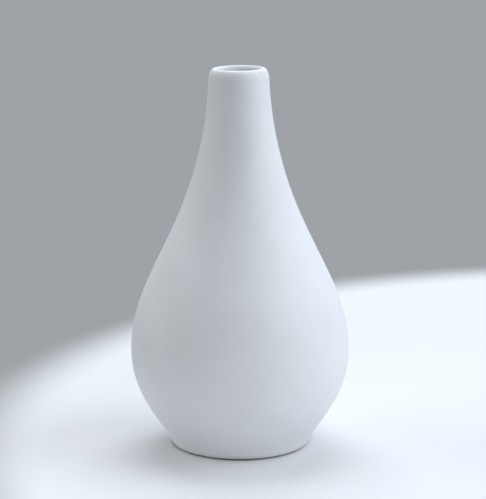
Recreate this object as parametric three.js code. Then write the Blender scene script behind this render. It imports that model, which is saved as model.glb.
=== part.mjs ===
import * as THREE from 'three';

// Ceramic bud vase: a teardrop body with a narrow neck, a rolled lip and a small foot.
// Millimetres, +Z up. The origin is the middle of the foot, on the surface that the vase stands on.

// Outside of the finished vase, glaze included
const HEIGHT = 150;
const BELLY_RADIUS = 43.2;
const BELLY_HEIGHT = 38.7;
const FOOT_RADIUS = 27.1;
const FOOT_EDGE_HEIGHT = 0.7;
const NECK_RADIUS = 11.8;

// How the outside swells: the length of each curve's handle, and the lean of its end from upright
const FOOT_HANDLE = 12;
const FOOT_FLARE = THREE.MathUtils.degToRad(26.2);
const UNDER_BELLY_HANDLE = 18.7;
const OVER_BELLY_HANDLE = 32;
const NECK_HANDLE = 57;
const NECK_LEAN = THREE.MathUtils.degToRad(2.7);

// The lip: a wide soft roll on the outside, and a tighter one into the mouth
const CREST_RADIUS = 9.6;
const OUTER_ROLL_HEIGHT = 4.3;
const INNER_ROLL_HEIGHT = 1.5;
const MOUTH_RADIUS = 8.6;

// Inside of the finished vase
const BELLY_WALL = 3.4;
const FLOOR_HEIGHT = 6.6;
const FLOOR_RADIUS = 20;
const FLOOR_HANDLE = 10;
const INNER_UNDER_BELLY_HANDLE = 13;
const INNER_OVER_BELLY_HANDLE = 32;
const INNER_NECK_HANDLE = 63;

// Underneath: a flat bare ring with a chamfer outside it and a glazed recess inside it
const RING_OUTER_RADIUS = 25.8;
const RING_INNER_RADIUS = 21;
const RING_INNER_CHAMFER = 0.5;
const RECESS_RADIUS = 18.5;
const RECESS_DEPTH = 2.2;

// The coats fused to the clay
const COAT_THICKNESS = 0.3;

// Colours and gloss: the bare clay, and each coat
const BARE_CLAY = { color: '#e9e5dc', roughness: 0.9, metalness: 0 };
const MATTE_WHITE = { color: '#e4e8ee', roughness: 0.75, metalness: 0 };
const CLEAR_GLOSS = { color: '#dfe3e6', roughness: 0.2, metalness: 0 };
const SATIN_WHITE = { color: '#e2e5e8', roughness: 0.4, metalness: 0 };

// Facets: sides round the axis, and steps along each stretch of the outline
const SIDES = 48;
const LOWER_STEPS = 8;
const UPPER_STEPS = 12;
const ROLL_STEPS = 4;
const FLOOR_STEPS = 6;

// Handles of this share of a roll's width and height round it off as an ellipse
const ROLL_SHARE = 0.55;

const point = (radius, height) => new THREE.Vector2(radius, height);
const UP = point(0, 1);
const OUTWARD = point(1, 0);
const UP_NECK = point(-Math.sin(NECK_LEAN), Math.cos(NECK_LEAN));
const UP_FOOT = point(Math.sin(FOOT_FLARE), Math.cos(FOOT_FLARE));

// One curve of the outline, pulled out of each end by a handle: a direction and a length
function stretch(start, startWay, startPull, end, endWay, endPull, steps) {
  const startHandle = start.clone().addScaledVector(startWay, startPull);
  const endHandle = end.clone().addScaledVector(endWay, endPull);
  return { curve: new THREE.CubicBezierCurve(start, startHandle, endHandle, end), steps };
}

// Points along stretches that are walked with the solid on the left, moved into the solid by the depth
function pointsAlong(stretches, depth) {
  const points = [];
  for (const { curve, steps } of stretches) {
    const firstStep = points.length === 0 ? 0 : 1;
    for (let step = firstStep; step <= steps; step += 1) {
      const onCurve = curve.getPoint(step / steps);
      const way = curve.getTangent(step / steps);
      points.push(point(onCurve.x - way.y * depth, onCurve.y + way.x * depth));
    }
  }
  return points;
}

const footEdge = point(FOOT_RADIUS, FOOT_EDGE_HEIGHT);
const outerBelly = point(BELLY_RADIUS, BELLY_HEIGHT);
const outerNeck = point(NECK_RADIUS, HEIGHT - OUTER_ROLL_HEIGHT);
const crest = point(CREST_RADIUS, HEIGHT);
const innerNeck = point(MOUTH_RADIUS, HEIGHT - INNER_ROLL_HEIGHT);
const innerBelly = point(BELLY_RADIUS - BELLY_WALL, BELLY_HEIGHT);
const floorEdge = point(FLOOR_RADIUS, FLOOR_HEIGHT);

const outerRollUp = ROLL_SHARE * OUTER_ROLL_HEIGHT;
const outerRollAcross = ROLL_SHARE * (NECK_RADIUS - CREST_RADIUS);
const innerRollAcross = ROLL_SHARE * (MOUTH_RADIUS - CREST_RADIUS);
const innerRollUp = ROLL_SHARE * INNER_ROLL_HEIGHT;

// From the foot up the outside and over the lip
const outside = [
  stretch(footEdge, UP_FOOT, FOOT_HANDLE, outerBelly, UP, -UNDER_BELLY_HANDLE, LOWER_STEPS),
  stretch(outerBelly, UP, OVER_BELLY_HANDLE, outerNeck, UP_NECK, -NECK_HANDLE, UPPER_STEPS),
  stretch(outerNeck, UP_NECK, outerRollUp, crest, OUTWARD, outerRollAcross, ROLL_STEPS),
  stretch(crest, OUTWARD, innerRollAcross, innerNeck, UP_NECK, innerRollUp, ROLL_STEPS),
];

// From the lip down the inside to the edge of the floor
const inside = [
  stretch(innerNeck, UP_NECK, -INNER_NECK_HANDLE, innerBelly, UP, INNER_OVER_BELLY_HANDLE, UPPER_STEPS),
  stretch(innerBelly, UP, -INNER_UNDER_BELLY_HANDLE, floorEdge, OUTWARD, FLOOR_HANDLE, FLOOR_STEPS),
];

function insidePoints(depth) {
  return [...pointsAlong(inside, depth), point(0, FLOOR_HEIGHT - depth)];
}

// The recess under the floor, from its middle out to the ring's inner chamfer. Depth counts out of the clay.
function recessPoints(depth) {
  const slope = Math.atan2(RECESS_DEPTH - RING_INNER_CHAMFER, RING_INNER_RADIUS - RECESS_RADIUS);
  const cornerShift = depth * Math.tan(slope / 2);
  return [
    point(0, RECESS_DEPTH - depth),
    point(RECESS_RADIUS - cornerShift, RECESS_DEPTH - depth),
    point(
      RING_INNER_RADIUS - depth * Math.sin(slope),
      RING_INNER_CHAMFER - depth * Math.cos(slope),
    ),
  ];
}

// A closed body turned about the upright axis. Its profile is walked with the solid on the left.
function turned(name, profile, look) {
  const geometry = new THREE.LatheGeometry(profile, SIDES);
  geometry.rotateX(Math.PI / 2);
  const mesh = new THREE.Mesh(geometry, new THREE.MeshStandardMaterial(look));
  mesh.name = name;
  return mesh;
}

const clayOutside = pointsAlong(outside, COAT_THICKNESS);
const clayInside = insidePoints(COAT_THICKNESS);
const clayRecess = recessPoints(0);

// The fired body: the wall, the floor and the bare foot ring
const clayBody = turned(
  'clay_body',
  [
    ...clayRecess,
    point(RING_INNER_RADIUS + RING_INNER_CHAMFER, 0),
    point(RING_OUTER_RADIUS, 0),
    ...clayOutside,
    ...clayInside.slice(1),
  ],
  BARE_CLAY,
);

// The matte white coat over the outside and the lip
const outerGlaze = turned(
  'outer_matte_glaze',
  [...pointsAlong(outside, 0), ...clayOutside.slice().reverse(), footEdge],
  MATTE_WHITE,
);

// The clear lining that holds the water
const innerGlaze = turned(
  'inner_gloss_glaze',
  [...clayInside.slice().reverse(), ...insidePoints(0)],
  CLEAR_GLOSS,
);

// The coat in the recess inside the foot ring
const recessGlaze = turned(
  'foot_recess_glaze',
  [...recessPoints(COAT_THICKNESS), ...clayRecess.slice().reverse()],
  SATIN_WHITE,
);

const group = new THREE.Group();
group.name = 'bud_vase';
group.add(clayBody, outerGlaze, innerGlaze, recessGlaze);

export default group;
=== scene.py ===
import math

import bpy
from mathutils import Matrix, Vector


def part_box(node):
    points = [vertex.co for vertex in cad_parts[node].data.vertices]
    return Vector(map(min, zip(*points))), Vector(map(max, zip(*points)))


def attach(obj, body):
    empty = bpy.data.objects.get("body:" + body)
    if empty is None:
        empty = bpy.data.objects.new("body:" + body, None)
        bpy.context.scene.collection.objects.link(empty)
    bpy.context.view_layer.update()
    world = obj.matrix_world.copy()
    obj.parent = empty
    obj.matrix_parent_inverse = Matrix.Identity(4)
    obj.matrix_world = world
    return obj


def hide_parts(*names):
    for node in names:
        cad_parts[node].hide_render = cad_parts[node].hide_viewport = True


# Ceramic bud vase: a fired teardrop body with a matte white coat outside, a clear glossy lining inside
# and a satin coat in the recess under the floor. Metres, +Z up, standing on the origin.

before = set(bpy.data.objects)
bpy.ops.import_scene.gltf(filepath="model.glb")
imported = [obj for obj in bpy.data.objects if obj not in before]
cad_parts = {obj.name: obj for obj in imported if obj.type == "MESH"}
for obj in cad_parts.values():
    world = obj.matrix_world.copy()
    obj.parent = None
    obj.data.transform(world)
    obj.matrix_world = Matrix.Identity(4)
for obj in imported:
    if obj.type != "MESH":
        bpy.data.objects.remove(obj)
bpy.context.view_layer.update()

MM = 0.001

# Sizes that the frame holds
coat_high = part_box("outer_matte_glaze")[1]
lining_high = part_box("inner_gloss_glaze")[1]
recess_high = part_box("foot_recess_glaze")[1]
HEIGHT = coat_high.z
BELLY_RADIUS = coat_high.x
LINED_BELLY_RADIUS = lining_high.x
RECESS_DEPTH = recess_high.z
RING_INNER_RADIUS = recess_high.x

# The rest of the outline, as it was turned
COAT_THICKNESS = 0.3 * MM
BELLY_HEIGHT = 38.7 * MM
FOOT_RADIUS = 27.1 * MM
FOOT_EDGE_HEIGHT = 0.7 * MM
FOOT_FLARE = math.radians(26.2)
NECK_RADIUS = 11.8 * MM
NECK_LEAN = math.radians(2.7)
CREST_RADIUS = 9.6 * MM
OUTER_ROLL_HEIGHT = 4.3 * MM
INNER_ROLL_HEIGHT = 1.5 * MM
MOUTH_RADIUS = 8.6 * MM
FLOOR_HEIGHT = 6.6 * MM
FLOOR_RADIUS = 20 * MM
RING_OUTER_RADIUS = 25.8 * MM
RING_INNER_CHAMFER = 0.5 * MM
RECESS_RADIUS = 18.5 * MM
ROLL_SHARE = 0.55

# How far each curve's handles reach
FOOT_HANDLE = 12 * MM
UNDER_BELLY_HANDLE = 18.7 * MM
OVER_BELLY_HANDLE = 32 * MM
NECK_HANDLE = 57 * MM
INNER_NECK_HANDLE = 63 * MM
INNER_OVER_BELLY_HANDLE = 32 * MM
INNER_UNDER_BELLY_HANDLE = 13 * MM
FLOOR_HANDLE = 10 * MM

# Fineness of the turned surface
SIDES = 192
UNDER_BELLY_STEPS = 26
OVER_BELLY_STEPS = 60
ROLL_STEPS = 10
FLOOR_STEPS = 20
WELD = 0.001 * MM
SMOOTH_ANGLE = math.radians(40)

# Edges rubbed soft: how wide, and how far an edge has to turn
COAT_EDGE = (0.12 * MM, math.radians(50))
RING_EDGE = (0.25 * MM, math.radians(18))
EDGE_SEGMENTS = 3

# The coat's slow waves: how wide, and how deep from crest to trough
WAVE_SIZE = 17 * MM
WAVE_DEPTH = 0.14 * MM

# A faint grey scuff just under the lip, in front on the right: its middle, and how far it reaches each way
SCUFF_MIDDLE = Vector((8.2 * MM, -7.1 * MM, 149.0 * MM))
SCUFF_REACH = Vector((2.6 * MM, 2.6 * MM, 0.45 * MM))
SCUFF_DASHES_PER_METRE = 480

# The neck leans a little to the left, and its lip tilts right side up
LEAN_LEVELS = 6
LEAN_AT_LIP = -0.48 * MM
LIP_TILT = math.radians(0.6)


def at(radius, height):
    """A point of the profile, drawn in the upright plane through +X."""
    return Vector((radius, 0, height))


UP = at(0, 1)
OUTWARD = at(1, 0)
UP_NECK = at(-math.sin(NECK_LEAN), math.cos(NECK_LEAN))
UP_FOOT = at(math.sin(FOOT_FLARE), math.cos(FOOT_FLARE))


def stretch(start, start_pull, end, end_pull, steps):
    """One curve of the outline, pulled out of each end by a handle: its points and its directions."""
    start_handle = start + start_pull
    end_handle = end + end_pull
    spots, ways = [], []
    for step in range(steps + 1):
        t = step / steps
        s = 1 - t
        spots.append(start * s**3 + start_handle * 3 * s * s * t + end_handle * 3 * s * t * t + end * t**3)
        way = (start_handle - start) * s * s
        way += (end_handle - start_handle) * 2 * s * t
        way += (end - end_handle) * t * t
        ways.append(way.normalized())
    return spots, ways


def points_along(stretches, depth=0.0):
    """Points along stretches walked with the solid on the left, moved into the solid by the depth."""
    points = []
    for spots, ways in stretches:
        first = 1 if points else 0
        for spot, way in list(zip(spots, ways))[first:]:
            points.append(at(spot.x - way.z * depth, spot.z + way.x * depth))
    return points


foot_edge = at(FOOT_RADIUS, FOOT_EDGE_HEIGHT)
outer_belly = at(BELLY_RADIUS, BELLY_HEIGHT)
outer_neck = at(NECK_RADIUS, HEIGHT - OUTER_ROLL_HEIGHT)
crest = at(CREST_RADIUS, HEIGHT)
inner_neck = at(MOUTH_RADIUS, HEIGHT - INNER_ROLL_HEIGHT)
inner_belly = at(LINED_BELLY_RADIUS - COAT_THICKNESS, BELLY_HEIGHT)
floor_edge = at(FLOOR_RADIUS, FLOOR_HEIGHT)

outer_roll_up = UP_NECK * ROLL_SHARE * OUTER_ROLL_HEIGHT
outer_roll_across = OUTWARD * ROLL_SHARE * (NECK_RADIUS - CREST_RADIUS)
inner_roll_across = OUTWARD * ROLL_SHARE * (MOUTH_RADIUS - CREST_RADIUS)
inner_roll_up = UP_NECK * ROLL_SHARE * INNER_ROLL_HEIGHT
inner_neck_pull = UP_NECK * -INNER_NECK_HANDLE
inner_belly_pull = UP * INNER_OVER_BELLY_HANDLE

outside = [
    stretch(foot_edge, UP_FOOT * FOOT_HANDLE, outer_belly, UP * -UNDER_BELLY_HANDLE, UNDER_BELLY_STEPS),
    stretch(outer_belly, UP * OVER_BELLY_HANDLE, outer_neck, UP_NECK * -NECK_HANDLE, OVER_BELLY_STEPS),
    stretch(outer_neck, outer_roll_up, crest, outer_roll_across, ROLL_STEPS),
    stretch(crest, inner_roll_across, inner_neck, inner_roll_up, ROLL_STEPS),
]
inside = [
    stretch(inner_neck, inner_neck_pull, inner_belly, inner_belly_pull, OVER_BELLY_STEPS),
    stretch(inner_belly, UP * -INNER_UNDER_BELLY_HANDLE, floor_edge, OUTWARD * FLOOR_HANDLE, FLOOR_STEPS),
]
recess = [
    at(0, RECESS_DEPTH),
    at(RECESS_RADIUS, RECESS_DEPTH),
    at(RING_INNER_RADIUS, RING_INNER_CHAMFER),
]

# ------------------------------------------------------------------------------------------------
# Turning and finishing


def draw_profile(name, points):
    """Draws a profile from a single point by extruding it from place to place, and leaves it in edit mode."""
    bpy.ops.object.select_all(action="DESELECT")
    bpy.ops.mesh.primitive_plane_add(size=1 * MM, location=(0, 0, 0))
    piece = bpy.context.active_object
    piece.name = name
    piece.data.name = name
    bpy.ops.object.mode_set(mode="EDIT")
    bpy.ops.mesh.select_mode(type="VERT")
    bpy.ops.mesh.select_all(action="SELECT")
    bpy.ops.mesh.merge(type="CENTER")
    bpy.ops.transform.translate(value=points[0])
    for start, end in zip(points, points[1:]):
        bpy.ops.mesh.extrude_region_move(TRANSFORM_OT_translate={"value": end - start})
    return piece


def turn_profile():
    """Spins the drawn profile once round the upright axis, and closes the seam and the poles."""
    bpy.ops.mesh.select_all(action="SELECT")
    bpy.ops.mesh.spin(steps=SIDES, angle=math.tau, center=(0, 0, 0), axis=(0, 0, 1))
    bpy.ops.mesh.select_all(action="SELECT")
    bpy.ops.mesh.remove_doubles(threshold=WELD)
    bpy.ops.mesh.select_all(action="SELECT")
    bpy.ops.mesh.normals_make_consistent(inside=False)
    bpy.ops.object.mode_set(mode="OBJECT")


def wave_surface(piece):
    """Gives a skin the slow unevenness of a sprayed coat."""
    wave = bpy.data.textures.new("coat_waves", type="CLOUDS")
    wave.noise_scale = WAVE_SIZE
    wave.noise_depth = 1
    push = piece.modifiers.new("waves", "DISPLACE")
    push.texture = wave
    push.texture_coords = "LOCAL"
    push.mid_level = 0.5
    push.strength = WAVE_DEPTH
    bpy.ops.object.modifier_apply(modifier=push.name)
    bpy.data.textures.remove(wave)


def thicken(piece, offset):
    """Gives a skin the coat's thickness: offset -1 on its inner side, 1 on its outer side."""
    wall = piece.modifiers.new("coat", "SOLIDIFY")
    wall.thickness = COAT_THICKNESS
    wall.offset = offset
    wall.use_even_offset = True
    bpy.ops.object.modifier_apply(modifier=wall.name)


def soften_edges(piece, width, least_turn):
    """Rounds every edge that turns by more than the given angle."""
    edge = piece.modifiers.new("edge", "BEVEL")
    edge.width = width
    edge.segments = EDGE_SEGMENTS
    edge.limit_method = "ANGLE"
    edge.angle_limit = least_turn
    bpy.ops.object.modifier_apply(modifier=edge.name)


def make_outer_coat():
    piece = draw_profile("outer_coat", points_along(outside))
    turn_profile()
    wave_surface(piece)
    thicken(piece, -1)
    soften_edges(piece, *COAT_EDGE)
    return piece


def make_water_lining():
    piece = draw_profile("water_lining", [*points_along(inside), at(0, FLOOR_HEIGHT)])
    turn_profile()
    thicken(piece, 1)
    return piece


def make_fired_body():
    ring = [at(RING_INNER_RADIUS + RING_INNER_CHAMFER, 0), at(RING_OUTER_RADIUS, 0)]
    wall = points_along(outside, COAT_THICKNESS) + points_along(inside, COAT_THICKNESS)[1:]
    floor_middle = at(0, FLOOR_HEIGHT - COAT_THICKNESS)
    piece = draw_profile("fired_body", [*recess, *ring, *wall, floor_middle])
    turn_profile()
    soften_edges(piece, *RING_EDGE)
    return piece


def make_recess_coat():
    piece = draw_profile("recess_coat", recess)
    turn_profile()
    thicken(piece, -1)
    soften_edges(piece, *COAT_EDGE)
    return piece


def make_lean_cage():
    """A cage round the whole vase, with its top pushed aside and tilted. It bends every piece alike.

    A corner's own height in the cage runs from -0.5 to 0.5.
    """
    bpy.ops.object.select_all(action="DESELECT")
    bpy.ops.object.add(type="LATTICE", location=(0, 0, HEIGHT / 2))
    cage = bpy.context.active_object
    cage.scale = (2 * BELLY_RADIUS, 2 * BELLY_RADIUS, HEIGHT)
    shape = cage.data
    shape.points_u = 2
    shape.points_v = 2
    shape.points_w = LEAN_LEVELS
    shape.interpolation_type_u = "KEY_LINEAR"
    shape.interpolation_type_v = "KEY_LINEAR"
    shape.interpolation_type_w = "KEY_CARDINAL"
    top = max(corner.co.z for corner in shape.points)
    for corner in shape.points:
        up = corner.co.z + 0.5
        corner.co_deform.x += up**2 * LEAN_AT_LIP / (2 * BELLY_RADIUS)
        if corner.co.z == top:
            corner.co_deform.z += corner.co.x * 2 * BELLY_RADIUS * math.tan(LIP_TILT) / HEIGHT
    return cage


def lean(piece, cage):
    bpy.ops.object.select_all(action="DESELECT")
    piece.select_set(True)
    bpy.context.view_layer.objects.active = piece
    bend = piece.modifiers.new("lean", "LATTICE")
    bend.object = cage
    bpy.ops.object.modifier_apply(modifier=bend.name)
    bpy.ops.object.shade_smooth_by_angle(angle=SMOOTH_ANGLE)


# ------------------------------------------------------------------------------------------------
# Finishes


def feed(tree, value, socket):
    """Links a socket to another, or sets a plain value on it."""
    if isinstance(value, bpy.types.NodeSocket):
        tree.links.new(value, socket)
    else:
        socket.default_value = value


class Bench:
    """Lays out the nodes of one material or node group."""

    def __init__(self, tree):
        self.tree = tree

    def node(self, kind, inputs=None, **settings):
        made = self.tree.nodes.new(kind)
        for key, value in settings.items():
            setattr(made, key, value)
        for key, value in (inputs or {}).items():
            feed(self.tree, value, made.inputs[key])
        return made

    def place(self):
        return self.node("ShaderNodeTexCoord").outputs["Object"]

    def maths(self, operation, first, second):
        return self.node("ShaderNodeMath", {0: first, 1: second}, operation=operation).outputs[0]

    def vector(self, operation, first, second=(0, 0, 0)):
        return self.node("ShaderNodeVectorMath", {0: first, 1: second}, operation=operation).outputs

    def noise(self, place, per_metre, detail, roughness):
        inputs = {"Vector": place, "Scale": per_metre, "Detail": detail, "Roughness": roughness}
        return self.node("ShaderNodeTexNoise", inputs).outputs["Fac"]

    def ramp(self, value, clear_at, full_at):
        """0 where the value is at clear_at, 1 where it is at full_at, and soft at both ends."""
        inputs = {"Value": value, "From Min": clear_at, "From Max": full_at}
        return self.node("ShaderNodeMapRange", inputs, interpolation_type="SMOOTHSTEP").outputs["Result"]

    def spread(self, mask, low, high):
        """Runs from low where the mask is 0 to high where it is 1."""
        inputs = {"Value": mask, "To Min": low, "To Max": high}
        return self.node("ShaderNodeMapRange", inputs).outputs["Result"]

    def blend(self, mask, share, under, over):
        """Lays one colour over another: nothing where the mask is 0, and the given share where it is 1."""
        mixer = self.node("ShaderNodeMix", data_type="RGBA")
        sockets = {socket.name: socket for socket in mixer.inputs if socket.enabled}
        feed(self.tree, self.spread(mask, 0, share), sockets["Factor"])
        feed(self.tree, under, sockets["A"])
        feed(self.tree, over, sockets["B"])
        return next(socket for socket in mixer.outputs if socket.enabled)

    def group(self, tree, values):
        return self.node("ShaderNodeGroup", values, node_tree=tree).outputs

    def bump(self, height, strength, distance):
        inputs = {"Height": height, "Strength": strength, "Distance": distance}
        return self.node("ShaderNodeBump", inputs).outputs["Normal"]


def new_group(name, inputs, outputs):
    """A shader node group with number inputs, each with its usual value, and number outputs."""
    tree = bpy.data.node_groups.new(name, "ShaderNodeTree")
    for title, usual in inputs.items():
        socket = tree.interface.new_socket(title, in_out="INPUT", socket_type="NodeSocketFloat")
        socket.default_value = usual
    for title in outputs:
        tree.interface.new_socket(title, in_out="OUTPUT", socket_type="NodeSocketFloat")
    bench = Bench(tree)
    return bench, bench.node("NodeGroupInput").outputs, bench.node("NodeGroupOutput").inputs


def make_grain_group():
    """Fine grain, pinhole pits and slow clouds, as a fired surface has."""
    usual = {"Grain per metre": 1400, "Clouds per metre": 60}
    pits_per_grain = 0.45
    pit_depth = 0.6
    bench, given, result = new_group("fired_grain", usual, ("Height", "Cloud", "Pits"))
    place = bench.place()
    grain = bench.noise(place, given["Grain per metre"], detail=3, roughness=0.6)
    broad = bench.noise(place, given["Clouds per metre"], detail=4, roughness=0.55)
    pits_per_metre = bench.maths("MULTIPLY", given["Grain per metre"], pits_per_grain)
    cells = bench.node("ShaderNodeTexVoronoi", {"Vector": place, "Scale": pits_per_metre})
    pits = bench.ramp(cells.outputs["Distance"], clear_at=0.14, full_at=0.05)
    sunk = bench.maths("MULTIPLY", pits, -pit_depth)
    feed(bench.tree, bench.maths("ADD", grain, sunk), result["Height"])
    feed(bench.tree, bench.ramp(broad, clear_at=0.32, full_at=0.68), result["Cloud"])
    feed(bench.tree, pits, result["Pits"])
    return bench.tree


def make_level_group():
    """A ragged band that fades in between two heights, for thin glaze, pooled glaze and painted shade."""
    usual = {"Clear at": 0, "Full at": 1, "Raggedness": 0, "Rags per metre": 300}
    bench, given, result = new_group("ragged_level", usual, ("Mask",))
    place = bench.place()
    height = bench.node("ShaderNodeSeparateXYZ", {"Vector": place}).outputs["Z"]
    rags = bench.noise(place, given["Rags per metre"], detail=3, roughness=0.6)
    shift = bench.maths("MULTIPLY", bench.maths("SUBTRACT", rags, 0.5), given["Raggedness"])
    band = bench.ramp(bench.maths("ADD", height, shift), given["Clear at"], given["Full at"])
    feed(bench.tree, band, result["Mask"])
    return bench.tree


fired_grain = make_grain_group()
ragged_level = make_level_group()


def new_finish(name):
    """A new material's bench and its shader's sockets."""
    material = bpy.data.materials.new(name)
    material.use_nodes = True
    return material, Bench(material.node_tree), material.node_tree.nodes["Principled BSDF"].inputs


def scuff_mask(bench):
    """Where the scuff under the lip is: a flat patch, broken into dashes."""
    place = bench.place()
    from_middle = bench.vector("SUBTRACT", place, SCUFF_MIDDLE)["Vector"]
    in_reaches = bench.vector("DIVIDE", from_middle, SCUFF_REACH)["Vector"]
    patch = bench.ramp(bench.vector("LENGTH", in_reaches)["Value"], clear_at=1, full_at=0.35)
    broken = bench.noise(place, SCUFF_DASHES_PER_METRE, detail=1, roughness=0.5)
    dashes = bench.ramp(broken, clear_at=0.42, full_at=0.56)
    return bench.maths("MULTIPLY", patch, dashes)


def matte_white_glaze():
    """The sprayed white coat: chalky, faintly clouded, and thinner where it meets the foot, where it is also
    painted darker as shade near the floor.
    """
    material, bench, shader = new_finish("matte_white_glaze")
    thick = (0.815, 0.83, 0.845, 1)
    clouded = (0.775, 0.785, 0.795, 1)
    over_clay = (0.62, 0.62, 0.61, 1)
    scuffed = (0.50, 0.51, 0.53, 1)
    grain = bench.group(fired_grain, {"Grain per metre": 1700, "Clouds per metre": 55})
    thin_glaze_and_shade_at_foot = bench.group(
        ragged_level,
        {"Clear at": 2.4 * MM, "Full at": 0.5 * MM, "Raggedness": 1.2 * MM, "Rags per metre": 420},
    )
    colour = bench.blend(grain["Cloud"], share=0.6, under=thick, over=clouded)
    # Low on the foot: the clay grey of thin glaze, and partly painted shade where the vase meets the floor.
    colour = bench.blend(thin_glaze_and_shade_at_foot["Mask"], share=0.55, under=colour, over=over_clay)
    colour = bench.blend(grain["Pits"], share=0.12, under=colour, over=over_clay)
    colour = bench.blend(scuff_mask(bench), share=0.5, under=colour, over=scuffed)
    feed(bench.tree, colour, shader["Base Color"])
    feed(bench.tree, bench.spread(grain["Cloud"], low=0.55, high=0.65), shader["Roughness"])
    feed(bench.tree, bench.bump(grain["Height"], strength=0.22, distance=0.06 * MM), shader["Normal"])
    return material


def clear_gloss_glaze():
    """The clear lining over white clay: glossy, and a little green where it pools on the floor."""
    material, bench, shader = new_finish("clear_gloss_glaze")
    thin = (0.84, 0.845, 0.84, 1)
    clouded = (0.81, 0.82, 0.81, 1)
    pooled = (0.66, 0.70, 0.685, 1)
    grain = bench.group(fired_grain, {"Grain per metre": 500, "Clouds per metre": 90})
    pool = bench.group(
        ragged_level,
        {"Clear at": 12 * MM, "Full at": 6 * MM, "Raggedness": 3 * MM, "Rags per metre": 120},
    )
    colour = bench.blend(grain["Cloud"], share=1, under=thin, over=clouded)
    colour = bench.blend(pool["Mask"], share=1, under=colour, over=pooled)
    feed(bench.tree, colour, shader["Base Color"])
    feed(bench.tree, bench.spread(grain["Cloud"], low=0.07, high=0.22), shader["Roughness"])
    feed(bench.tree, bench.bump(grain["Height"], strength=0.1, distance=0.05 * MM), shader["Normal"])
    return material


def bare_fired_clay():
    """The unglazed foot ring: dry and sandy, with dark specks, and with painted shade on the chamfer above
    the ring, where the gap under the foot lies in shadow.
    """
    material, bench, shader = new_finish("bare_fired_clay")
    clean = (0.74, 0.70, 0.63, 1)
    clouded = (0.67, 0.62, 0.54, 1)
    specks = (0.32, 0.27, 0.21, 1)
    # Dark grey painted shade for the shadowed gap under the foot.
    painted_gap_shade = (0.20, 0.20, 0.20, 1)
    grain = bench.group(fired_grain, {"Grain per metre": 2200, "Clouds per metre": 140})
    chamfer_shade_band = bench.group(
        ragged_level,
        {"Clear at": 0.02 * MM, "Full at": 0.3 * MM, "Raggedness": 0.2 * MM, "Rags per metre": 260},
    )
    colour = bench.blend(grain["Cloud"], share=1, under=clean, over=clouded)
    colour = bench.blend(grain["Pits"], share=0.55, under=colour, over=specks)
    # Painted shade: the chamfer is darkened to stand for the shadow in the gap under the foot.
    colour = bench.blend(chamfer_shade_band["Mask"], share=0.9, under=colour, over=painted_gap_shade)
    feed(bench.tree, colour, shader["Base Color"])
    feed(bench.tree, bench.spread(grain["Cloud"], low=0.88, high=0.98), shader["Roughness"])
    feed(bench.tree, bench.bump(grain["Height"], strength=0.6, distance=0.08 * MM), shader["Normal"])
    return material


def satin_recess_glaze():
    """The coat inside the foot ring: satin, and thin where it runs out over the ring's chamfer."""
    material, bench, shader = new_finish("satin_recess_glaze")
    thick = (0.79, 0.80, 0.81, 1)
    clouded = (0.74, 0.75, 0.75, 1)
    over_clay = (0.68, 0.65, 0.60, 1)
    grain = bench.group(fired_grain, {"Grain per metre": 900, "Clouds per metre": 80})
    thin_at_ring = bench.group(
        ragged_level,
        {"Clear at": 1.5 * MM, "Full at": 0.4 * MM, "Raggedness": 0.7 * MM, "Rags per metre": 350},
    )
    colour = bench.blend(grain["Cloud"], share=1, under=thick, over=clouded)
    colour = bench.blend(thin_at_ring["Mask"], share=0.7, under=colour, over=over_clay)
    feed(bench.tree, colour, shader["Base Color"])
    feed(bench.tree, bench.spread(grain["Cloud"], low=0.24, high=0.57), shader["Roughness"])
    feed(bench.tree, bench.bump(grain["Height"], strength=0.2, distance=0.05 * MM), shader["Normal"])
    return material


# ------------------------------------------------------------------------------------------------
# The vase

outer_coat = make_outer_coat()
water_lining = make_water_lining()
fired_body = make_fired_body()
recess_coat = make_recess_coat()

cage = make_lean_cage()
for piece in (outer_coat, water_lining, fired_body, recess_coat):
    lean(piece, cage)
bpy.data.objects.remove(cage)

outer_coat.data.materials.append(matte_white_glaze())
water_lining.data.materials.append(clear_gloss_glaze())
fired_body.data.materials.append(bare_fired_clay())
recess_coat.data.materials.append(satin_recess_glaze())

for piece, node, slot in (
    (outer_coat, "outer_matte_glaze", "matte_white_glaze"),
    (water_lining, "inner_gloss_glaze", "clear_gloss_glaze"),
    (fired_body, "clay_body", "fired_clay"),
    (recess_coat, "foot_recess_glaze", "recess_glaze"),
):
    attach(piece, "root")
    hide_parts(node)

# ------------------------------------------------------------------------------------------------
# Studio

scene = bpy.context.scene
scene.view_settings.view_transform = "Standard"

# The pale floor: its colour, its middle, and how far from there it is solid, faded out and cut off
PALE_FLOOR_TONE = (0.77, 0.77, 0.775, 1)
PALE_FLOOR_ROUGHNESS = 0.55
PALE_FLOOR_MIDDLE = Vector((0.205, 0.0105, 0))
PALE_FLOOR_SOLID_TO = 0.285
PALE_FLOOR_GONE_AT = 0.33
PALE_FLOOR_RADIUS = 0.4
PALE_FLOOR_SIDES = 64

# Every soft box: how far it hangs from the vase, and how wide it is
LIGHT_DISTANCE = 1.5
LIGHT_SIZE = 1.2

# The camera stands in front, a little above the lip, and looks down at the vase by this many degrees
CAMERA_PLACE = (0.00115, -0.7712, 0.2404)
CAMERA_LOOKS_DOWN = 11.87
CAMERA_LENS = 144.3


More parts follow.
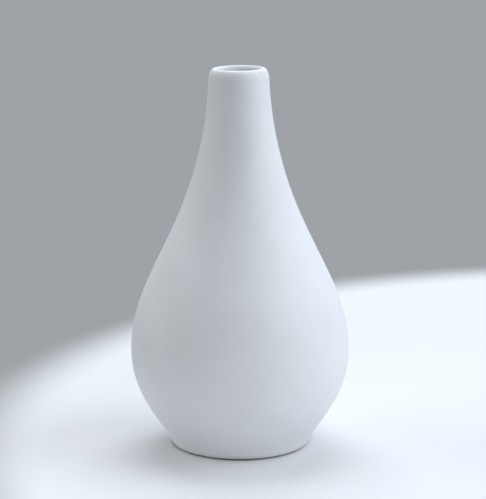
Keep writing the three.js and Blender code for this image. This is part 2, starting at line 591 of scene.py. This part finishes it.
def pale_floor_finish():
    """A pale floor that fades out at a distance, so that the vase stands in a pool of light."""
    material, bench, shader = new_finish("pale_floor")
    shader["Base Color"].default_value = PALE_FLOOR_TONE
    shader["Roughness"].default_value = PALE_FLOOR_ROUGHNESS
    from_middle = bench.vector("DISTANCE", bench.place(), PALE_FLOOR_MIDDLE)["Value"]
    gone = bench.ramp(from_middle, PALE_FLOOR_SOLID_TO, PALE_FLOOR_GONE_AT)
    solid = bench.tree.nodes["Principled BSDF"].outputs["BSDF"]
    clear = bench.node("ShaderNodeBsdfTransparent").outputs["BSDF"]
    faded = bench.node("ShaderNodeMixShader", {0: gone, 1: solid, 2: clear}).outputs["Shader"]
    feed(bench.tree, faded, bench.tree.nodes["Material Output"].inputs["Surface"])
    return material


def lay_pale_floor():
    bpy.ops.object.select_all(action="DESELECT")
    bpy.ops.mesh.primitive_circle_add(
        vertices=PALE_FLOOR_SIDES,
        radius=PALE_FLOOR_RADIUS,
        fill_type="NGON",
        location=PALE_FLOOR_MIDDLE,
    )
    floor = bpy.context.active_object
    floor.name = "pale_floor"
    bpy.ops.object.transform_apply(location=True)
    floor.data.materials.append(pale_floor_finish())


def hang_light(name, azimuth, elevation, watts, colour):
    """A square soft box aimed at the vase. Azimuth 0 is in front and 90 on the right."""
    around, above = math.radians(azimuth), math.radians(elevation)
    out = Vector(
        (
            math.sin(around) * math.cos(above),
            -math.cos(around) * math.cos(above),
            math.sin(above),
        )
    )
    lamp = bpy.data.lights.new(name, "AREA")
    lamp.shape = "SQUARE"
    lamp.size = LIGHT_SIZE
    lamp.energy = watts
    lamp.color = colour
    box = bpy.data.objects.new(name, lamp)
    box.location = Vector((0, 0, HEIGHT / 2)) + out * LIGHT_DISTANCE
    box.rotation_euler = (-out).to_track_quat("-Z", "Y").to_euler()
    scene.collection.objects.link(box)


def paint_studio(seen, fill):
    """The plain grey seen behind the vase, and the light that the room throws on it."""
    world = bpy.data.worlds.new("studio")
    world.use_nodes = True
    bench = Bench(world.node_tree)
    behind = bench.node("ShaderNodeBackground", {"Color": seen}).outputs["Background"]
    room = bench.node("ShaderNodeBackground", {"Color": fill}).outputs["Background"]
    looking = bench.node("ShaderNodeLightPath").outputs["Is Camera Ray"]
    mixed = bench.node("ShaderNodeMixShader", {0: looking, 1: room, 2: behind}).outputs["Shader"]
    feed(bench.tree, mixed, world.node_tree.nodes["World Output"].inputs["Surface"])
    scene.world = world


lay_pale_floor()
paint_studio(seen=(0.345, 0.365, 0.385, 1), fill=(0.16, 0.16, 0.16, 1))
hang_light("window", azimuth=90, elevation=40, watts=14.5, colour=(0.80, 0.91, 1.0))
hang_light("far_window", azimuth=180, elevation=60, watts=18.2, colour=(0.85, 0.92, 1.0))
hang_light("room", azimuth=30, elevation=30, watts=7.1, colour=(0.93, 0.93, 1.0))
hang_light("left_wall", azimuth=-97, elevation=21, watts=9.9, colour=(0.91, 0.95, 1.0))

camera_data = bpy.data.cameras.new("camera")
camera_data.lens = CAMERA_LENS
camera = bpy.data.objects.new("camera", camera_data)
camera.location = CAMERA_PLACE
camera.rotation_euler = (math.radians(90 - CAMERA_LOOKS_DOWN), 0, 0)
scene.collection.objects.link(camera)
scene.camera = camera
